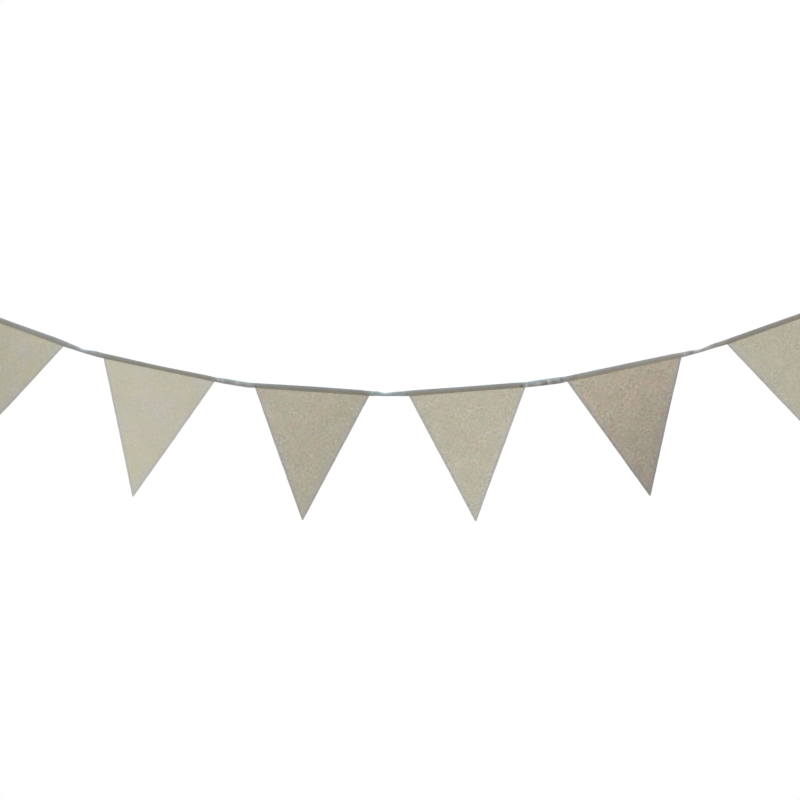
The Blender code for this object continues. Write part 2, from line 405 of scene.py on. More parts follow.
def tint_knots(over_pennants, in_gaps):
    """Knots of the tape's colour factors along it."""
    knots = [(0.0, Vector(PLAIN))]
    for number, (start, end) in enumerate(corners()):
        tint = Vector(over_pennants[number])
        knots += [(start + TINT_EASE, tint), (end - TINT_EASE, tint)]
        knots += gap_knots(number, [[Vector(factors)] * 2 for factors in in_gaps])
    return knots + [(tape_length(), Vector(PLAIN))]


def tape_tint(knots, top_knots, distance, high):
    """The tape's red, green and blue factors here, from its place along and its height share, with painted
    glints and shade.
    """
    tint = eased(knots, distance) * Vector(PLAIN).lerp(eased(top_knots, distance), high)
    gap_starts = [end for _, end in corners()]
    for mark in GLINT_AND_SHADE_MARKS:
        from_mark = distance - gap_starts[mark.gap] - mark.past
        if abs(from_mark) < MARK_REACH * mark.long:
            strength = mark.lighter * hump(from_mark, mark.long) * hump(high - mark.high, MARK_TALL)
            tint += Vector(mark.hue) * strength
    return tint


def crease_rise(distance, up):
    """How far the creases lift the tape's plies here."""
    rise = 0.0
    gap_starts = [end for _, end in corners()]
    for crease in CREASES:
        middle = gap_starts[crease.gap] + crease.past + crease.slant * (up / TAPE_HEIGHT - 0.5)
        rise += crease.rise * hump(distance - middle, crease.width) * math.sin(math.pi * up / TAPE_HEIGHT)
    return rise


class Strip(namedtuple("Strip", "stations slots heights lifts creased seed")):
    """A tape folded lengthwise and stitched along its lower edge, lying along its stations."""

    @property
    def length(self):
        return self.stations[-1].distance

    def half_room(self, distance, up, side):
        """From the middle of the strip to the inside of the ply on this side, -1 in front and 1 behind."""
        above = smooth((up - SEAM_UP) / (TAPE_HEIGHT - SEAM_UP)) if up > SEAM_UP else 0.0
        swell = SWELL * (1.0 + SWELL_UNEVEN * uneven(distance * SWELLS_PER_METRE, side, self.seed))
        below = max(0.0, 1.0 - up / SEAM_UP)
        dimple = SEAM_MEAN_PULL - SEAM_PULL_CHANGE * math.cos(2.0 * math.pi * distance / STITCH_PITCH)
        room = eased(self.slots, distance) / 2.0 + swell * math.sin(math.pi * above) + FOOT_FLARE * below
        room -= SEAM_PULL * dimple * hump(up - SEAM_UP, SEAM_PULL_WIDTH)
        if self.creased:
            room += crease_rise(distance, up)
        return room

    def section(self, distance):
        """The strip's outline here as (back, up) pairs: over the outside from front to back, then inside."""
        points = []
        spring = TAPE_HEIGHT - FOLD_RISE
        for side, ups in ((-1.0, LEG_UPS), (1.0, LEG_UPS[::-1])):
            leg = [(side * (self.half_room(distance, up, side) + PLY), up) for up in ups]
            foot = [(side * (self.half_room(distance, 0.0, side) + PLY / 2.0), -FOOT_ROUND)]
            if side < 0.0:
                points += foot + leg + self.fold(distance, spring, PLY, FOLD_STEPS)
            else:
                points += leg + foot
        inner_front = [(-self.half_room(distance, up, -1.0), up) for up in INNER_UPS]
        inner_back = [(self.half_room(distance, up, 1.0), up) for up in INNER_UPS]
        inner_fold = self.fold(distance, spring, 0.0, FOLD_STEPS // 2)
        return points + inner_back + inner_fold[::-1] + inner_front[::-1]

    def fold(self, distance, spring, ply, steps):
        """The round of the fold, ply outside the room between the plies, from front to back."""
        front = self.half_room(distance, spring, -1.0) + ply
        back = self.half_room(distance, spring, 1.0) + ply
        rise = FOLD_RISE - PLY + ply
        points = []
        for number in range(steps + 1):
            angle = math.pi * (1.0 - number / steps)
            reach = front if math.cos(angle) < 0.0 else back
            points.append((reach * math.cos(angle), spring + rise * math.sin(angle)))
        return points

    def station_at(self, distance):
        """The station at any distance, between the two nearest."""
        spot = min(max(distance / self.length, 0.0), 1.0) * (len(self.stations) - 1)
        before = self.stations[int(spot)]
        after = self.stations[min(int(spot) + 1, len(self.stations) - 1)]
        return Station(distance, before.place.lerp(after.place, spot - int(spot)), before.turn)

    def lean(self, station):
        """How far the strip leans to the back here, from 0 upright to 1 flat."""
        return 1.0 - station.turn.col[2].z / math.hypot(station.turn.col[2].z, station.turn.col[2].y)

    def points(self, station, pairs):
        """The places of these (back, up) pairs of the strip's section at a station."""
        foot = station.place + Vector((0.0, 0.0, eased(self.lifts, station.distance)))
        tall = eased(self.heights, station.distance)
        _, back_axis, up_axis = station.turn.transposed()
        return [foot + back_axis * back + up_axis * up * tall for back, up in pairs]

    def outside(self, distance, up, side):
        """A point on the strip's outer face, and the direction out of it."""
        station = self.station_at(distance)
        out = side * (self.half_room(distance, up, side) + PLY)
        return self.points(station, [(out, up)])[0], station.turn.col[1] * side


def stitch_row(strip, start, end):
    """The stitches along a strip's lower edge, in front and behind."""
    stitches = []
    count = int((end - start) / STITCH_PITCH)
    for number in range(count):
        for side in (-1.0, 1.0):
            middle = start + STITCH_PITCH * (number + 0.5) + random.uniform(-STITCH_JITTER, STITCH_JITTER)
            up = SEAM_UP + random.uniform(-STITCH_JITTER, STITCH_JITTER)
            slope = random.uniform(-STITCH_JITTER, STITCH_JITTER)
            first, normal = strip.outside(middle - STITCH_LENGTH / 2.0, up - slope, side)
            last, _ = strip.outside(middle + STITCH_LENGTH / 2.0, up + slope, side)
            stitches.append(Stitch(first, last, normal))
    return stitches


def bar_tack(strip, distance, side):
    """A stack of close stitches across a strip, which hold it to the strip under it."""
    stitches = []
    for number in range(BAR_TACK_STITCHES):
        up = SEAM_UP + (TAPE_HEIGHT - SEAM_UP - FOLD_RISE) * number / (BAR_TACK_STITCHES - 1)
        shift = random.uniform(-STITCH_JITTER, STITCH_JITTER)
        first, normal = strip.outside(distance + shift - BAR_TACK_WIDTH / 2.0, up, side)
        last, _ = strip.outside(distance + shift + BAR_TACK_WIDTH / 2.0, up + STITCH_JITTER, side)
        stitches.append(Stitch(first, last, normal))
    return stitches


def ring_faces(rings, around):
    """The faces between rings of points, each ring closed on itself."""
    faces = []
    for ring in range(rings - 1):
        for here in range(around):
            there = (here + 1) % around
            first, second = ring * around, (ring + 1) * around
            faces.append((first + here, second + here, second + there, first + there))
    return faces


def add_mesh(name, points, faces, cloth):
    mesh = bpy.data.meshes.new(name)
    mesh.from_pydata([tuple(point) for point in points], [], faces)
    mesh.materials.append(cloth)
    mesh.shade_smooth()
    made = bpy.data.objects.new(name, mesh)
    bpy.context.scene.collection.objects.link(made)
    return made


def add_values(made, name, values):
    """Gives each point of the mesh a number or a Vector for its material."""
    numbers = np.array(values, np.float32)
    kind, field = ("FLOAT", "value") if numbers.ndim == 1 else ("FLOAT_VECTOR", "vector")
    made.data.attributes.new(name, kind, "POINT").data.foreach_set(field, numbers.ravel())


def add_strip(name, strip, overs, tint_at, cloth):
    """Builds a strip's mesh, with the numbers that its material reads."""
    sections = [strip.section(station.distance) for station in strip.stations]
    around = len(sections[0])
    points = []
    values = {"along": [], "across": [], "rise": [], "over": [], "lean": [], "tint": []}
    for station, section in zip(strip.stations, sections):
        points += strip.points(station, section)
        values["along"] += [station.distance] * around
        values["across"] += [math.copysign(TAPE_HEIGHT - up, back) for back, up in section]
        values["rise"] += [up / TAPE_HEIGHT for _, up in section]
        values["over"] += [eased(overs, station.distance)] * around
        values["lean"] += [strip.lean(station)] * around
        values["tint"] += [tint_at(station.distance, up / TAPE_HEIGHT) for _, up in section]
    rings = len(sections)
    faces = ring_faces(rings, around)
    last = (rings - 1) * around
    faces += [tuple(range(around))[::-1], tuple(range(last, last + around))]
    made = add_mesh(name, points, faces, cloth)
    for label, numbers in values.items():
        add_values(made, label, numbers)
    return made


def add_stitches(name, stitches, cloth):
    """Builds the stitches as thin bowed threads in one mesh."""
    points, faces = [], []
    for stitch in stitches:
        run = stitch.end - stitch.start
        aside = run.cross(stitch.normal).normalized()
        first = len(points)
        for share, swell in zip(STITCH_SHARES, STITCH_SWELLS):
            bow = math.sin(math.pi * share)
            lift = STITCH_BOW * bow - THREAD_RADIUS * (1.0 - bow)
            middle = stitch.start + run * share + stitch.normal * lift
            for number in range(THREAD_SIDES):
                angle = 2.0 * math.pi * number / THREAD_SIDES
                ray = aside * math.cos(angle) + stitch.normal * math.sin(angle)
                points.append(middle + ray * THREAD_RADIUS * swell)
        for face in ring_faces(len(STITCH_SHARES), THREAD_SIDES):
            faces.append(tuple(first + corner for corner in face))
        faces.append(tuple(range(first + THREAD_SIDES - 1, first - 1, -1)))
        faces.append(tuple(range(len(points) - THREAD_SIDES, len(points))))
    return add_mesh(name, points, faces, cloth)


class Sheet(namedtuple("Sheet", "pennant seed")):
    """One pennant in its own frame: x along its heading, y to the back, z up from the tape's lower edge."""

    def half_width(self, down):
        """Half the pennant's width at this distance below the tape, rounded off at the tip."""
        share = max(0.0, down) / self.pennant.drop
        half = self.pennant.width / 2.0 * (1.0 - share) + TIP_WIDTH / 2.0 * share
        if down < 0.0:
            half = self.pennant.width / 2.0 * (1.0 - down / self.pennant.drop)
        past = max(0.0, (down - self.pennant.drop + TIP_ROUND) / TIP_ROUND)
        return half * math.sqrt(max(0.0, 1.0 - past * past))

    def centre(self, down):
        return self.pennant.width / 2.0 + self.pennant.tip_shift * down / self.pennant.drop

    def back(self, x, down):
        """How far to the back the pennant's middle lies here: the CAD model's folds and finer ripples."""
        hang = max(0.0, down / self.pennant.drop)
        across = (x - self.centre(down)) / max(self.half_width(down), TIP_WIDTH / 2.0)
        belly = math.sin(math.pi * hang) ** 2
        back = self.pennant.swing * hang**2
        back += belly * (self.pennant.curl * across**2 + self.pennant.twist * across)
        free = smooth(hang * RIPPLE_GROWTH)
        back += RIPPLE * free * uneven(x * RIPPLES_PER_METRE, down * RIPPLES_PER_METRE, self.seed)
        fine = uneven(x * FINE_RIPPLES_PER_METRE, down * FINE_RIPPLES_PER_METRE, self.seed + 1)
        return back + FINE_RIPPLE * smooth(hang * FINE_RIPPLE_GROWTH) * fine

    def half_thickness(self, inward, down, squeeze):
        """Half the doubled cloth's thickness at this distance in from its side edge."""
        half = PRESSED_HALF + (FREE_HALF - PRESSED_HALF) * smooth(down / FREE_BELOW)
        if down > 0.0:
            free = smooth(down / FREE_BELOW)
            half += EDGE_ROLL * free * hump(inward - EDGE_ROLL_IN, EDGE_ROLL_WIDTH)
            half -= EDGE_SEAM_DEPTH * free * squeeze * hump(inward - EDGE_SEAM_IN, EDGE_SEAM_WIDTH)
            half += ALLOWANCE * free * smooth((ALLOWANCE_ENDS - inward) / (ALLOWANCE_ENDS - EDGE_SEAM_IN))
        if inward < EDGE_ROUND:
            half *= math.sqrt(max(0.0, 1.0 - (1.0 - inward / EDGE_ROUND) ** 2))
        past = max(0.0, (down - self.pennant.drop + TIP_ROUND) / TIP_ROUND)
        return half * math.sqrt(max(0.0, 1.0 - past**3))

    def squeeze(self, down):
        """How far the columns near the edges are pushed together, where the pennant is narrow."""
        return min(1.0, self.half_width(down) / EDGE_COLUMNS[-1] / EDGE_ROOM)

    def column_places(self, down):
        """(x, inward) pairs across a row: close together near the stitched edges, then even."""
        half = self.half_width(down)
        centre = self.centre(down)
        squeeze = self.squeeze(down)
        wander = EDGE_WANDER * smooth(down / FREE_BELOW) * squeeze
        left = centre - half + wander * uneven(down * PUCKERS_PER_METRE / 2.0, 1.0, self.seed)
        right = centre + half + wander * uneven(down * PUCKERS_PER_METRE / 2.0, 2.0, self.seed)
        places = [(left + inward * squeeze, inward) for inward in EDGE_COLUMNS]
        inner_left, inner_right = places[-1][0], right - EDGE_COLUMNS[-1] * squeeze
        for number in range(1, MIDDLE_COLUMNS):
            x = inner_left + (inner_right - inner_left) * number / MIDDLE_COLUMNS
            places.append((x, max(EDGE_COLUMNS[-1], min(x - left, right - x))))
        places += [(right - inward * squeeze, inward) for inward in EDGE_COLUMNS[::-1]]
        return places, squeeze

    def point(self, x, inward, down, side, squeeze):
        """A point of the pennant's face on this side, -1 in front and 1 behind."""
        pucker = PUCKER * smooth(down / FREE_BELOW) * hump(inward, EDGE_SEAM_IN)
        puckered = uneven(down * PUCKERS_PER_METRE, x * PUCKERS_ACROSS_PER_METRE, self.seed + 2)
        middle = self.back(x, down) + pucker * puckered
        return Vector((x, middle + side * self.half_thickness(inward, down, squeeze), -down))

    def rows(self):
        """The distances below the tape's lower edge at which the mesh has a row."""
        rows = [-HEADING * (1.0 - number / HEADING_ROWS) for number in range(HEADING_ROWS)]
        straight = self.pennant.drop - TIP_ROUND
        count = round(straight / ROW_STEP)
        rows += [straight * number / count for number in range(count)]
        for number in range(TIP_STEPS + 1):
            rows.append(straight + TIP_ROUND * math.sin(math.pi / 2.0 * number / (TIP_STEPS + TIP_SHORT)))
        return rows

    def stitches(self):
        """The stitches beside both side edges, in front and behind."""
        made = []
        start, end = EDGE_SEAM_FROM_TOP, self.pennant.drop - EDGE_SEAM_FROM_TIP
        count = int((end - start) / STITCH_PITCH)
        for number in range(count):
            middle = start + (end - start) * (number + 0.5) / count
            for edge in (-1.0, 1.0):
                for side in (-1.0, 1.0):
                    made.append(self.stitch(middle, edge, side))
        return made

    def stitch(self, middle, edge, side):
        """One stitch beside the left (-1) or right (1) edge."""
        ends = []
        inward = EDGE_SEAM_IN + random.uniform(-STITCH_JITTER, STITCH_JITTER)
        for down in (middle - EDGE_STITCH_HALF, middle + EDGE_STITCH_HALF):
            squeeze = self.squeeze(down)
            x = self.centre(down) + edge * (self.half_width(down) - inward * squeeze)
            ends.append(self.point(x, inward, down, side, squeeze))
        return Stitch(ends[0], ends[1], Vector((0.0, side, 0.0)))


def add_pennant(name, sheet, frame_of_pennant, cloth):
    """Builds a pennant's two faces, joined round its edges, with each point's distance from the edge."""
    downs = sheet.rows()
    points, edges = [], []
    for down in downs:
        places, squeeze = sheet.column_places(down)
        front = [sheet.point(x, inward, down, -1.0, squeeze) for x, inward in places]
        back = [sheet.point(x, inward, down, 1.0, squeeze) for x, inward in places[-2:0:-1]]
        points += front + back
        edges += [inward * squeeze for _, inward in places + places[-2:0:-1]]
    around = len(points) // len(downs)
    faces = [face[::-1] for face in ring_faces(len(downs), around)]
    last = (len(downs) - 1) * around
    faces += [tuple(range(around)), tuple(range(last, last + around))[::-1]]
    made = add_mesh(name, points, faces, cloth)
    add_values(made, "edge", edges)
    made.matrix_world = frame_of_pennant
    return made


def pennant_frame(number, stations):
    """Where this pennant's left corner is, and which way its heading lies, as a matrix."""
    held_from = pennant_starts()[number] - STRAIGHT_PAST_PENNANT
    spot = held_from / tape_length() * (len(stations) - 1)
    before, after = stations[int(spot)], stations[int(spot) + 1]
    place = before.place.lerp(after.place, spot - int(spot))
    turn = turned(math.radians(PENNANTS[number].dip), math.radians(PENNANTS[number].yaw), 0.0)
    return Matrix.Translation(place + turn.col[0] * STRAIGHT_PAST_PENNANT) @ turn.to_4x4()


def loop_stations(end, facing):
    """A hanging loop's stations: along a leg, round its eye and back along the other leg."""
    turn = end.turn @ Matrix.Rotation(facing, 3, "Z")
    half = ((LOOP_LEG, 0.0), (LOOP_FLARE_RADIUS * LOOP_FLARE, LOOP_FLARE), (LOOP_STRAIGHT, 0.0))
    round_eye = math.pi + 2.0 * LOOP_FLARE
    bends = (*half, (eye_radius() * round_eye, -round_eye), *half[::-1])
    line, heading = [(-LOOP_LEG, CAD_LEG_BACK)], 0.0
    for length, bend in bends:
        count = max(4, round(length / STRIP_STEP))
        for _ in range(count):
            middle = heading + bend / count / 2.0
            out, back = line[-1]
            line.append((out + math.cos(middle) * length / count, back + math.sin(middle) * length / count))
            heading += bend / count
    settled = []
    for out, back in line:
        towards = LEG_SETTLE * smooth(-out / LEG_SETTLE_OVER)
        settled.append(Vector((out, back - math.copysign(towards, back), 0.0)))
    stations, distance = [], 0.0
    for number, here in enumerate(settled):
        before, after = settled[max(0, number - 1)], settled[min(len(settled) - 1, number + 1)]
        distance += (here - before).length
        along = turn @ (after - before).normalized()
        back = turn.col[2].cross(along)
        axes = Matrix((along, back, turn.col[2])).transposed()
        stations.append(Station(distance, end.place + turn @ here, axes))
    return stations


# relief: how high a surface's relief is. strength: how strongly that shades it.
Finish = namedtuple("Finish", "relief strength roughness sheen")
LINEN_FINISH = Finish(0.22 * MM, 0.75, 0.88, 0.10)
TAPE_FINISH = Finish(0.10 * MM, 0.60, 0.62, 0.20)
LINEN_THREAD_FINISH = Finish(0.05 * MM, 0.50, 0.70, 0.15)
TAPE_THREAD_FINISH = Finish(0.05 * MM, 0.50, 0.60, 0.15)
FLOOR_FINISH = Finish(0.20 * MM, 0.20, 0.80, 0.0)
SPECULAR = 0.25
SHEEN_ROUGHNESS = 0.6


class Graph:
    """A material's nodes, added one at a time. A number or a socket can feed any input."""

    def __init__(self, name):
        self.material = bpy.data.materials.new(name)
        self.material.use_nodes = True
        self.tree = self.material.node_tree
        self.surface = self.tree.nodes["Principled BSDF"]

    def feed(self, socket, value):
        if isinstance(value, bpy.types.NodeSocket):
            self.tree.links.new(value, socket)
        elif isinstance(value, tuple) and len(value) == 3 and socket.type == "RGBA":
            socket.default_value = (*value, 1.0)
        else:
            socket.default_value = value

    def feed_all(self, node, inputs):
        """Feeds these inputs of a node, each under its name or number."""
        for key, value in inputs.items():
            self.feed(node.inputs[key], value)

    def node(self, kind, **inputs):
        """Adds a node and feeds the inputs that are named here."""
        node = self.tree.nodes.new("ShaderNode" + kind)
        self.feed_all(node, inputs)
        return node

    def math(self, operation, *values):
        node = self.node("Math")
        node.operation = operation
        self.feed_all(node, dict(enumerate(values)))
        return node.outputs[0]

    def value(self, name, kind="Fac"):
        """What each point of the mesh carries under this name: a number, or with "Vector" three."""
        node = self.node("Attribute")
        node.attribute_name = name
        return node.outputs[kind]

    def local_axes(self):
        """x, y and z in the piece's own frame, in metres."""
        place = self.node("TexCoord").outputs["Object"]
        return self.node("SeparateXYZ", Vector=place).outputs

    def vector(self, x, y, z):
        return self.node("CombineXYZ", X=x, Y=y, Z=z).outputs[0]

    def noise(self, place, detail=2.0):
        """Soft noise from 0 to 1 at this place, whose grain is 1 unit wide."""
        return self.node("TexNoise", Scale=1.0, Detail=detail, Vector=place).outputs["Fac"]

    def grain(self, x, y, size_x, size_y, seed, detail=2.0):
        """Soft noise from 0 to 1 whose grains are this large along x and y."""
        place = self.vector(self.math("DIVIDE", x, size_x), self.math("DIVIDE", y, size_y), seed)
        return self.noise(place, detail)

    def fading(self, value, reach, power=1.0):
        """1 where value is 0, and falling to 0 where it has grown to reach."""
        left = self.math("MAXIMUM", self.math("MULTIPLY_ADD", value, -1.0 / reach, 1.0), 0.0)
        return self.math("POWER", left, power)

    def tint(self, share, colour, factors):
        """The colour with its red, green and blue multiplied by these factors, as far as share says."""
        return self.mix(share, colour, self.dyed(colour, factors))

    def dyed(self, colour, factors):
        """The colour with its red, green and blue multiplied by these factors."""
        return self.mix(1.0, colour, factors, "MULTIPLY")

    def product(self, first, *others):
        """All these numbers multiplied together."""
        for other in others:
            first = self.math("MULTIPLY", first, other)
        return first

    def mix(self, share, first, second, blend="MIX"):
        node = self.node("Mix")
        node.data_type = "RGBA"
        node.blend_type = blend
        self.feed_all(node, {0: share, 6: first, 7: second})
        return node.outputs[2]

    def brighten(self, colour, factor):
        """The colour times a number, which may be over 1."""
        node = self.node("VectorMath")
        node.operation = "SCALE"
        self.feed_all(node, {0: colour, "Scale": factor})
        return node.outputs[0]

    def around_one(self, value, depth):
        """1 plus depth times how far value, from 0 to 1, is from its middle."""
        return self.math("MULTIPLY_ADD", value, depth, 1.0 - depth / 2.0)

    def finish(self, colour, height, finish):
        """Puts the colour and the relief on the surface, and gives back the material."""
        bump = self.node("Bump", Distance=finish.relief, Strength=finish.strength, Height=height)
        self.feed_all(self.surface, {
            "Base Color": colour,
            "Normal": bump.outputs["Normal"],
            "Roughness": finish.roughness,
            "Specular IOR Level": SPECULAR,
            "Sheen Weight": finish.sheen,
            "Sheen Roughness": SHEEN_ROUGHNESS,
        })
        return self.material


def scaled(colour, factor):
    return tuple(channel * factor for channel in colour)


# A pennant's cloth: its mean colour, partly the linen's own and partly painted light and shade that make some
# pennants lighter than others; how much lighter it gets per metre to the right and upwards, which is painted
# shade for how the pennant faces the light; and how strong its flecks, its pink and green blotches, its blue
# and yellow clouds and its dark edges (painted shade along the turned-in rim) are.
Cloth = namedtuple("Cloth", "colour right up flecked blotched clouded edged")
CLOTHS = (
    Cloth((0.406, 0.386, 0.307), 0.85, 0.28, 0.86, 0.9, 1.9, 1.0),
    Cloth((0.484, 0.461, 0.372), -0.17, -0.12, 0.62, 0.8, 1.6, 0.8),
    Cloth((0.401, 0.370, 0.290), -0.35, 0.14, 1.34, 1.8, 0.6, 1.0),
    Cloth((0.460, 0.431, 0.339), 0.19, -0.18, 1.38, 1.2, 0.5, 1.0),
    Cloth((0.375, 0.328, 0.257), -0.55, 1.39, 1.78, 1.9, 0.6, 1.3),
    Cloth((0.448, 0.423, 0.331), -0.22, -0.12, 1.24, 0.8, 0.3, 1.0),
)
LINEN_THREAD = 1.05 * MM
LINEN_SLUB = 10.0 * MM
LINEN_SWAY = 1.2 * MM
LINEN_SWAY_GRAIN = (14.0 * MM, 40.0 * MM)
LINEN_FLECK = 4.6 * MM
LINEN_CLOUD = 28.0 * MM
LINEN_ROUGH = (38.0 * MM, 26.0 * MM)
LINEN_BLOTCH = 24.0 * MM
LINEN_SMALL_BLOTCH = 8.0 * MM
LINEN_HUE = 10.0 * MM
LINEN_BROAD_HUE = 42.0 * MM
SLUB_RELIEF = 1.4
BLOTCH_SHARE = 0.66
# How much each of these changes the cloth's lightness, from its darkest to its lightest.
# The weave's depth paints its hollows darker and its crowns lighter, as painted shade.
WEAVE_DEPTH = 0.10
WARP_DEPTH = 0.28
WEFT_DEPTH = 0.32
FLECK_DEPTH = 0.42
CLOUD_DEPTH = 0.13
# The flecks stand out in some parts of the cloth, and elsewhere it is nearly smooth.
ROUGH_DEPTH = 3.2
SMOOTHEST = 0.15
PINK = (1.045, 0.980, 0.990)
GREEN = (0.955, 1.020, 1.000)
YELLOWER = (1.00, 1.00, 0.89)
BLUER = (1.00, 1.00, 1.11)
# Side edges: the cloth's colour fades to its own grey, and its turned-in rim is painted darker up to the
# stitches, as shade in the turned edge.
EDGE_GREY_SHARE = 0.66
EDGE_GREY_REACH = 17.0 * MM
EDGE_GREY_EASE = 1.5
RIM_SHADE_DEPTH = 0.11
RIM_IN = 2.4 * MM
RIM_REACH = 2.6 * MM
LUMINANCE = (0.2126, 0.7152, 0.0722)


def plain_weave(made, x, z, seed):
    """Swaying yarns: how high the weave stands and how thick warp and weft are, each from 0 to 1."""
    sway_x = made.math("MULTIPLY_ADD", made.grain(z, x, *LINEN_SWAY_GRAIN, seed), LINEN_SWAY, x)
    sway_z = made.math("MULTIPLY_ADD", made.grain(x, z, *LINEN_SWAY_GRAIN, seed + 1.0), LINEN_SWAY, z)
    over_x = made.math("SINE", made.math("MULTIPLY", sway_x, math.pi / LINEN_THREAD))
    over_z = made.math("SINE", made.math("MULTIPLY", sway_z, math.pi / LINEN_THREAD))
    weave = made.math("MULTIPLY_ADD", made.math("MULTIPLY", over_x, over_z), 0.5, 0.5)
    warp = made.grain(sway_x, z, LINEN_THREAD, LINEN_SLUB, seed + 2.0)
    weft = made.grain(x, sway_z, LINEN_SLUB, LINEN_THREAD, seed + 3.0)
    return weave, warp, weft


def edged(made, colour, cloth):
    """The colour with the greys of a pennant's stitched side edges, and painted shade along its turned-in
    rim.
    """
    edge = made.value("edge")
    grey = sum(channel * share for channel, share in zip(cloth.colour, LUMINANCE))
    greyer = tuple(1.0 + (grey / channel - 1.0) * EDGE_GREY_SHARE for channel in cloth.colour)
    colour = made.tint(made.fading(edge, EDGE_GREY_REACH, EDGE_GREY_EASE), colour, greyer)
    # Painted shade along the turned-in rim, where the edge turns in and the seam sinks.
    rim = made.fading(made.math("ABSOLUTE", made.math("SUBTRACT", edge, RIM_IN)), RIM_REACH)
    return made.brighten(colour, made.math("MULTIPLY_ADD", rim, -RIM_SHADE_DEPTH * cloth.edged, 1.0))


def linen(number, cloth, pennant):
    """Plain-woven linen with slubs, aligned with the pennant's heading, greyer at the stitched edges."""
    made = Graph(f"linen_{number + 1}")
    x, _, z = made.local_axes()
    seed = 10.0 * (number + 1)
    weave, warp, weft = plain_weave(made, x, z, seed)

    def spots(size, place, detail=1.0):
        return made.grain(x, z, size, size, seed + place, detail)

    rough = made.around_one(made.grain(x, z, *LINEN_ROUGH, seed + 9.0, 1.0), ROUGH_DEPTH)
    flecks = made.math("SUBTRACT", spots(LINEN_FLECK, 4.0, 3.0), 0.5)
    flecks = made.product(flecks, made.math("MAXIMUM", rough, SMOOTHEST))
    # The weave's hollows are painted darker here, as shade.
    light = made.product(
        made.around_one(weave, WEAVE_DEPTH),
        made.around_one(warp, WARP_DEPTH * cloth.flecked),
        made.around_one(weft, WEFT_DEPTH * cloth.flecked),
        made.math("MULTIPLY_ADD", flecks, FLECK_DEPTH * cloth.flecked, 1.0),
        made.around_one(spots(LINEN_CLOUD, 5.0), CLOUD_DEPTH * cloth.flecked),
    )
    # Painted shade: the cloth turns lighter and darker across the pennant, for how it faces the light.
    from_middle_x = made.math("SUBTRACT", x, pennant.width / 2.0)
    from_middle_z = made.math("ADD", z, pennant.drop / 3.0)
    slope = made.math("MULTIPLY_ADD", from_middle_x, cloth.right, 1.0)
    slope = made.math("MULTIPLY_ADD", from_middle_z, cloth.up, slope)
    blotches = made.product(spots(LINEN_BLOTCH, 6.0), BLOTCH_SHARE)
    small_blotches = made.product(spots(LINEN_SMALL_BLOTCH, 7.0), 1.0 - BLOTCH_SHARE)
    pinker = made.math("SUBTRACT", made.math("ADD", blotches, small_blotches), 0.5)
    pinker = made.math("MULTIPLY_ADD", pinker, 2.0 * cloth.blotched, 0.5)
    broad = made.math("SUBTRACT", spots(LINEN_BROAD_HUE, 10.5), 0.5)
    broad = made.math("MULTIPLY_ADD", broad, cloth.clouded, 0.5)
    colour = made.dyed(made.mix(pinker, GREEN, PINK), made.mix(spots(LINEN_HUE, 8.0), YELLOWER, BLUER))
    colour = made.dyed(colour, made.mix(broad, YELLOWER, BLUER))
    colour = made.brighten(made.dyed(colour, cloth.colour), made.product(light, slope))
    height = made.math("ADD", weave, made.product(made.math("ADD", warp, weft), SLUB_RELIEF))
    return made.finish(edged(made, colour, cloth), height, LINEN_FINISH)


# The tape's own colour is its grey in the gaps. Over the pennants it is painted darker and more olive, as
# shade from the pennant behind it. Its top, at the fold, is painted paler and bluer as light from above, and
# where it leans back in a gap it has a painted highlight, paler and bluer still.
TAPE_SHADED_OVER_PENNANT = (0.225, 0.212, 0.172)
TAPE_LIT_TOP_OVER_PENNANT = (0.262, 0.298, 0.322)
TAPE_IN_GAP = (0.250, 0.252, 0.245)
TAPE_LIT_TOP_IN_GAP = (0.338, 0.398, 0.420)
TAPE_THREAD_COLOUR = (0.240, 0.235, 0.212)
TAPE_LEAN_HIGHLIGHT = (1.12, 1.24, 1.32)
TAPE_LEANS_FULLY_AT = 0.43
TAPE_THREAD = 0.55 * MM
TAPE_LIT_TOP_FROM = 0.38
TAPE_TWILL_DEPTH = 0.14
TAPE_STREAK = 16.0 * MM
TAPE_STREAK_DEPTH = 0.20
TAPE_PATCH = (7.0 * MM, 3.0 * MM)
TAPE_PATCH_DEPTH = 0.46
TAPE_LILAC = (1.04, 0.97, 1.03)
TAPE_OLIVE = (0.99, 1.01, 0.95)
TAPE_STRETCH = (42.0 * MM, 20.0 * MM)
TAPE_DULL_STRETCH = (0.86, 0.87, 0.83)
TAPE_FRESH_STRETCH = (1.13, 1.14, 1.19)


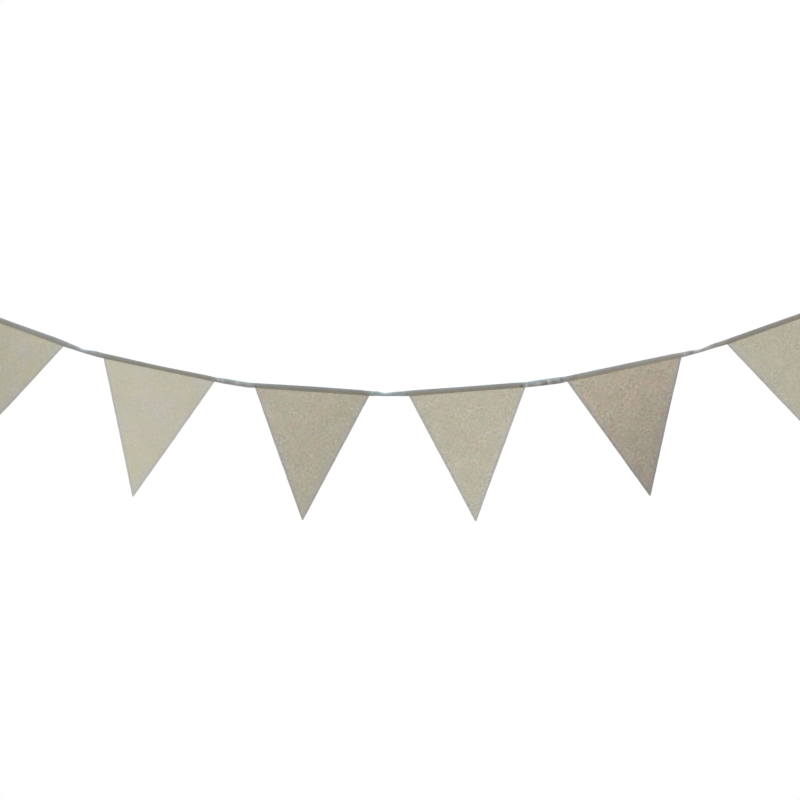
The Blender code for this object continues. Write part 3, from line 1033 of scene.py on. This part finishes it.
def tape_cloth():
    """Fine ribbed tape with uneven patches along it, painted shade over the pennants, and painted light on
    its top and where it leans.
    """
    made = Graph("grey_tape")
    along, across = made.value("along"), made.value("across")
    threads_along = made.product(along, 1.0 / TAPE_THREAD)
    threads_across = made.product(across, 1.0 / TAPE_THREAD)
    twill = made.math("SINE", made.product(made.math("ADD", threads_along, threads_across), math.pi))
    ribs = made.math("SINE", made.product(threads_along, 2.0 * math.pi))
    weave = made.math("MULTIPLY_ADD", made.math("ADD", twill, ribs), 0.25, 0.5)
    streak = made.grain(along, across, TAPE_STREAK, TAPE_THREAD, 1.0)
    patch = made.grain(along, across, *TAPE_PATCH, 4.0)
    over = made.value("over")
    # Painted light: the tape is paler and bluer towards its top, as if lit from above.
    above = made.math("MAXIMUM", made.math("SUBTRACT", made.value("rise"), TAPE_LIT_TOP_FROM), 0.0)
    top = made.math("SUBTRACT", 1.0, made.fading(above, 1.0 - TAPE_LIT_TOP_FROM))
    # Painted shade: the gaps' grey turns darker and more olive over the pennants, where a pennant lies behind
    # the tape.
    lower = made.mix(over, TAPE_IN_GAP, TAPE_SHADED_OVER_PENNANT)
    lit_upper = made.mix(over, TAPE_LIT_TOP_IN_GAP, TAPE_LIT_TOP_OVER_PENNANT)
    colour = made.mix(top, lower, lit_upper)
    # Painted highlight: where the tape leans back in a gap, its face turns up to the light and is painted
    # paler and bluer.
    lean_highlight = made.math("MINIMUM", made.math("DIVIDE", made.value("lean"), TAPE_LEANS_FULLY_AT), 1.0)
    lean_highlight = made.product(lean_highlight, made.math("SUBTRACT", 1.0, over))
    colour = made.tint(lean_highlight, colour, TAPE_LEAN_HIGHLIGHT)
    hue = made.mix(made.grain(along, across, *TAPE_PATCH, 8.0), TAPE_OLIVE, TAPE_LILAC)
    stretch = made.grain(along, across, *TAPE_STRETCH, 12.0, 1.0)
    colour = made.dyed(colour, hue)
    colour = made.dyed(colour, made.mix(stretch, TAPE_DULL_STRETCH, TAPE_FRESH_STRETCH))
    colour = made.dyed(colour, made.value("tint", "Vector"))
    light = made.product(
        made.around_one(weave, TAPE_TWILL_DEPTH),
        made.around_one(streak, TAPE_STREAK_DEPTH),
        made.around_one(patch, TAPE_PATCH_DEPTH),
    )
    return made.finish(made.brighten(colour, light), weave, TAPE_FINISH)


FIBRES_PER_METRE = 2600.0
FIBRE_DARKEST = 0.86
FIBRE_LIGHTEST = 1.12
LINEN_THREAD_SHADE = 0.97


def thread(name, colour, finish):
    """Sewing thread: fine fibres with a slight gloss."""
    made = Graph(name)
    fibre = made.noise(made.vector(*(made.product(axis, FIBRES_PER_METRE) for axis in made.local_axes())))
    colour = made.mix(fibre, scaled(colour, FIBRE_DARKEST), scaled(colour, FIBRE_LIGHTEST))
    return made.finish(colour, fibre, finish)


def place_piece(made, nodes=()):
    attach(made, "root")
    if nodes:
        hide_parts(*nodes)


def build_pennants(stations):
    for number, pennant in enumerate(PENNANTS):
        cloth = CLOTHS[number]
        right, down = (past * MM for past in TIP_PAST_MM[number])
        pennant = pennant._replace(tip_shift=pennant.tip_shift + right, drop=pennant.drop + down)
        sheet = Sheet(pennant, number)
        at = pennant_frame(number, stations)
        name = f"linen_pennant_{number + 1}"
        made = add_pennant(name, sheet, at, linen(number, cloth, pennant))
        colour = scaled(cloth.colour, LINEN_THREAD_SHADE)
        sewing = thread(f"linen_thread_{number + 1}", colour, LINEN_THREAD_FINISH)
        stitches = add_stitches(f"{name}_stitches", sheet.stitches(), sewing)
        stitches.matrix_world = at
        place_piece(made, [f"pennant_{number + 1}"])
        place_piece(stitches)


def build_tape(stations, cloth, sewing):
    tints = tint_knots(TINT_OVER_PENNANT, TINT_IN_GAP)
    top_tints = tint_knots(TOP_TINT_OVER_PENNANT, TOP_TINT_IN_GAP)
    slots = ramp_knots(SLOT_CLOSED, SLOT_OPEN, STRAIGHT_PAST_PENNANT, 0.0)
    # overs is 1 over the pennants, where the tape's colour is painted darker as shade from the pennant behind
    # it.
    overs = ramp_knots(0.0, 1.0, TINT_EASE, TINT_EASE)
    strip = Strip(stations, slots, height_knots(), lift_knots(), True, TAPE_SEED)

    def tint_at(distance, high):
        return tape_tint(tints, top_tints, distance, high)

    made = add_strip("folded_tape", strip, overs, tint_at, cloth)
    row = stitch_row(strip, TAPE_SEAM_ENDS, strip.length - TAPE_SEAM_ENDS)
    stitches = add_stitches("folded_tape_stitches", row, sewing)
    place_piece(made, ["tape"])
    place_piece(stitches)


def build_loop(side, end, facing, cloth, sewing):
    line = loop_stations(end, facing)
    strip = Strip(line, [(0.0, SLOT_CLOSED)], [(0.0, 1.0)], [(0.0, 0.0)], False, LOOP_SEED)
    name = f"hanging_loop_{side}"
    made = add_strip(name, strip, [(0.0, 0.0)], lambda *place: Vector(PLAIN), cloth)
    stitches = stitch_row(strip, LOOP_SEAM_ENDS, strip.length - LOOP_SEAM_ENDS)
    for inward in BAR_TACKS_IN:
        stitches += bar_tack(strip, LOOP_LEG - inward, 1.0)
        stitches += bar_tack(strip, strip.length - LOOP_LEG + inward, 1.0)
    sewn = add_stitches(f"{name}_stitches", stitches, sewing)
    place_piece(made, [f"loop_{side}"])
    place_piece(sewn)


# The photograph's middle, and the size that its side covers at the bunting.
VIEW_MIDDLE = Vector((0.8371, 0.0, -0.19255))
VIEW_SIDE = 1.412
LENS_MM = 100.0
SENSOR_MM = 36.0
FLOOR_BELOW_VIEW = 1.30
FLOOR_RADIUS = 2.6
FLOOR_SIDES = 96
FLOOR_GRAINS_PER_METRE = 40.0
FLOOR_COLOURS = ((0.80, 0.80, 0.79), (0.83, 0.83, 0.82))
WORLD_LIGHT = 0.72
WHITE = (1.0, 1.0, 1.0)

# size: of each side. power: in watts. All lamps face the middle of the view.
Lamp = namedtuple("Lamp", "name place size power colour")
LAMPS = (
    Lamp("key", (-1.4, -5.2, 3.2), 3.6, 178.0, WHITE),
    Lamp("overhead", (0.9, -0.4, 2.6), 2.4, 11.0, (0.86, 0.94, 1.0)),
    Lamp("rear", (2.6, 2.6, 1.2), 2.4, 30.0, WHITE),
)


def add_camera():
    camera = bpy.data.objects.new("camera", bpy.data.cameras.new("camera"))
    camera.data.lens = LENS_MM
    camera.data.sensor_width = SENSOR_MM
    away = VIEW_SIDE * LENS_MM / SENSOR_MM
    camera.location = VIEW_MIDDLE - Vector((0.0, away, 0.0))
    camera.rotation_euler = (math.pi / 2.0, 0.0, 0.0)
    bpy.context.scene.collection.objects.link(camera)
    bpy.context.scene.camera = camera


def add_world():
    """A white surround, seen as white and lighting the cloth a little less, so that the lamps shade it."""
    world = bpy.data.worlds.new("white_studio")
    world.use_nodes = True
    nodes, links = world.node_tree.nodes, world.node_tree.links
    seen, light = nodes["Background"], nodes.new("ShaderNodeBackground")
    for background in (seen, light):
        background.inputs["Color"].default_value = (*WHITE, 1.0)
    light.inputs["Strength"].default_value = WORLD_LIGHT
    rays, mix = nodes.new("ShaderNodeLightPath"), nodes.new("ShaderNodeMixShader")
    links.new(rays.outputs["Is Camera Ray"], mix.inputs[0])
    links.new(light.outputs[0], mix.inputs[1])
    links.new(seen.outputs[0], mix.inputs[2])
    links.new(mix.outputs[0], nodes["World Output"].inputs["Surface"])
    bpy.context.scene.world = world
    bpy.context.scene.view_settings.view_transform = "Standard"


def add_lamp(lamp):
    light = bpy.data.lights.new(lamp.name, "AREA")
    light.size = lamp.size
    light.energy = lamp.power
    light.color = lamp.colour
    made = bpy.data.objects.new(lamp.name, light)
    made.location = lamp.place
    made.rotation_euler = (VIEW_MIDDLE - Vector(lamp.place)).to_track_quat("-Z", "Y").to_euler()
    bpy.context.scene.collection.objects.link(made)


def add_floor():
    """A round pale floor that ends before the camera would see it."""
    material = Graph("pale_floor")
    x, y, _ = material.local_axes()
    grain_places = [material.product(axis, FLOOR_GRAINS_PER_METRE) for axis in (x, y)]
    grain = material.noise(material.vector(*grain_places, 0.0))
    pale = material.finish(material.mix(grain, *FLOOR_COLOURS), grain, FLOOR_FINISH)
    angles = [2.0 * math.pi * number / FLOOR_SIDES for number in range(FLOOR_SIDES)]
    points = [(FLOOR_RADIUS * math.cos(angle), FLOOR_RADIUS * math.sin(angle), 0.0) for angle in angles]
    floor = add_mesh("floor", points, [tuple(range(FLOOR_SIDES))], pale)
    floor.location = (VIEW_MIDDLE.x, 0.0, VIEW_MIDDLE.z - FLOOR_BELOW_VIEW)


def main():
    random.seed(STITCH_SEED)
    cloth = tape_cloth()
    sewing = thread("tape_thread", TAPE_THREAD_COLOUR, TAPE_THREAD_FINISH)
    stations = tape_stations()
    build_loop("left", stations[0], math.pi, cloth, sewing)
    build_loop("right", stations[-1], 0.0, cloth, sewing)
    build_tape(stations, cloth, sewing)
    build_pennants(stations)
    add_camera()
    add_world()
    add_floor()
    for lamp in LAMPS:
        add_lamp(lamp)


main()
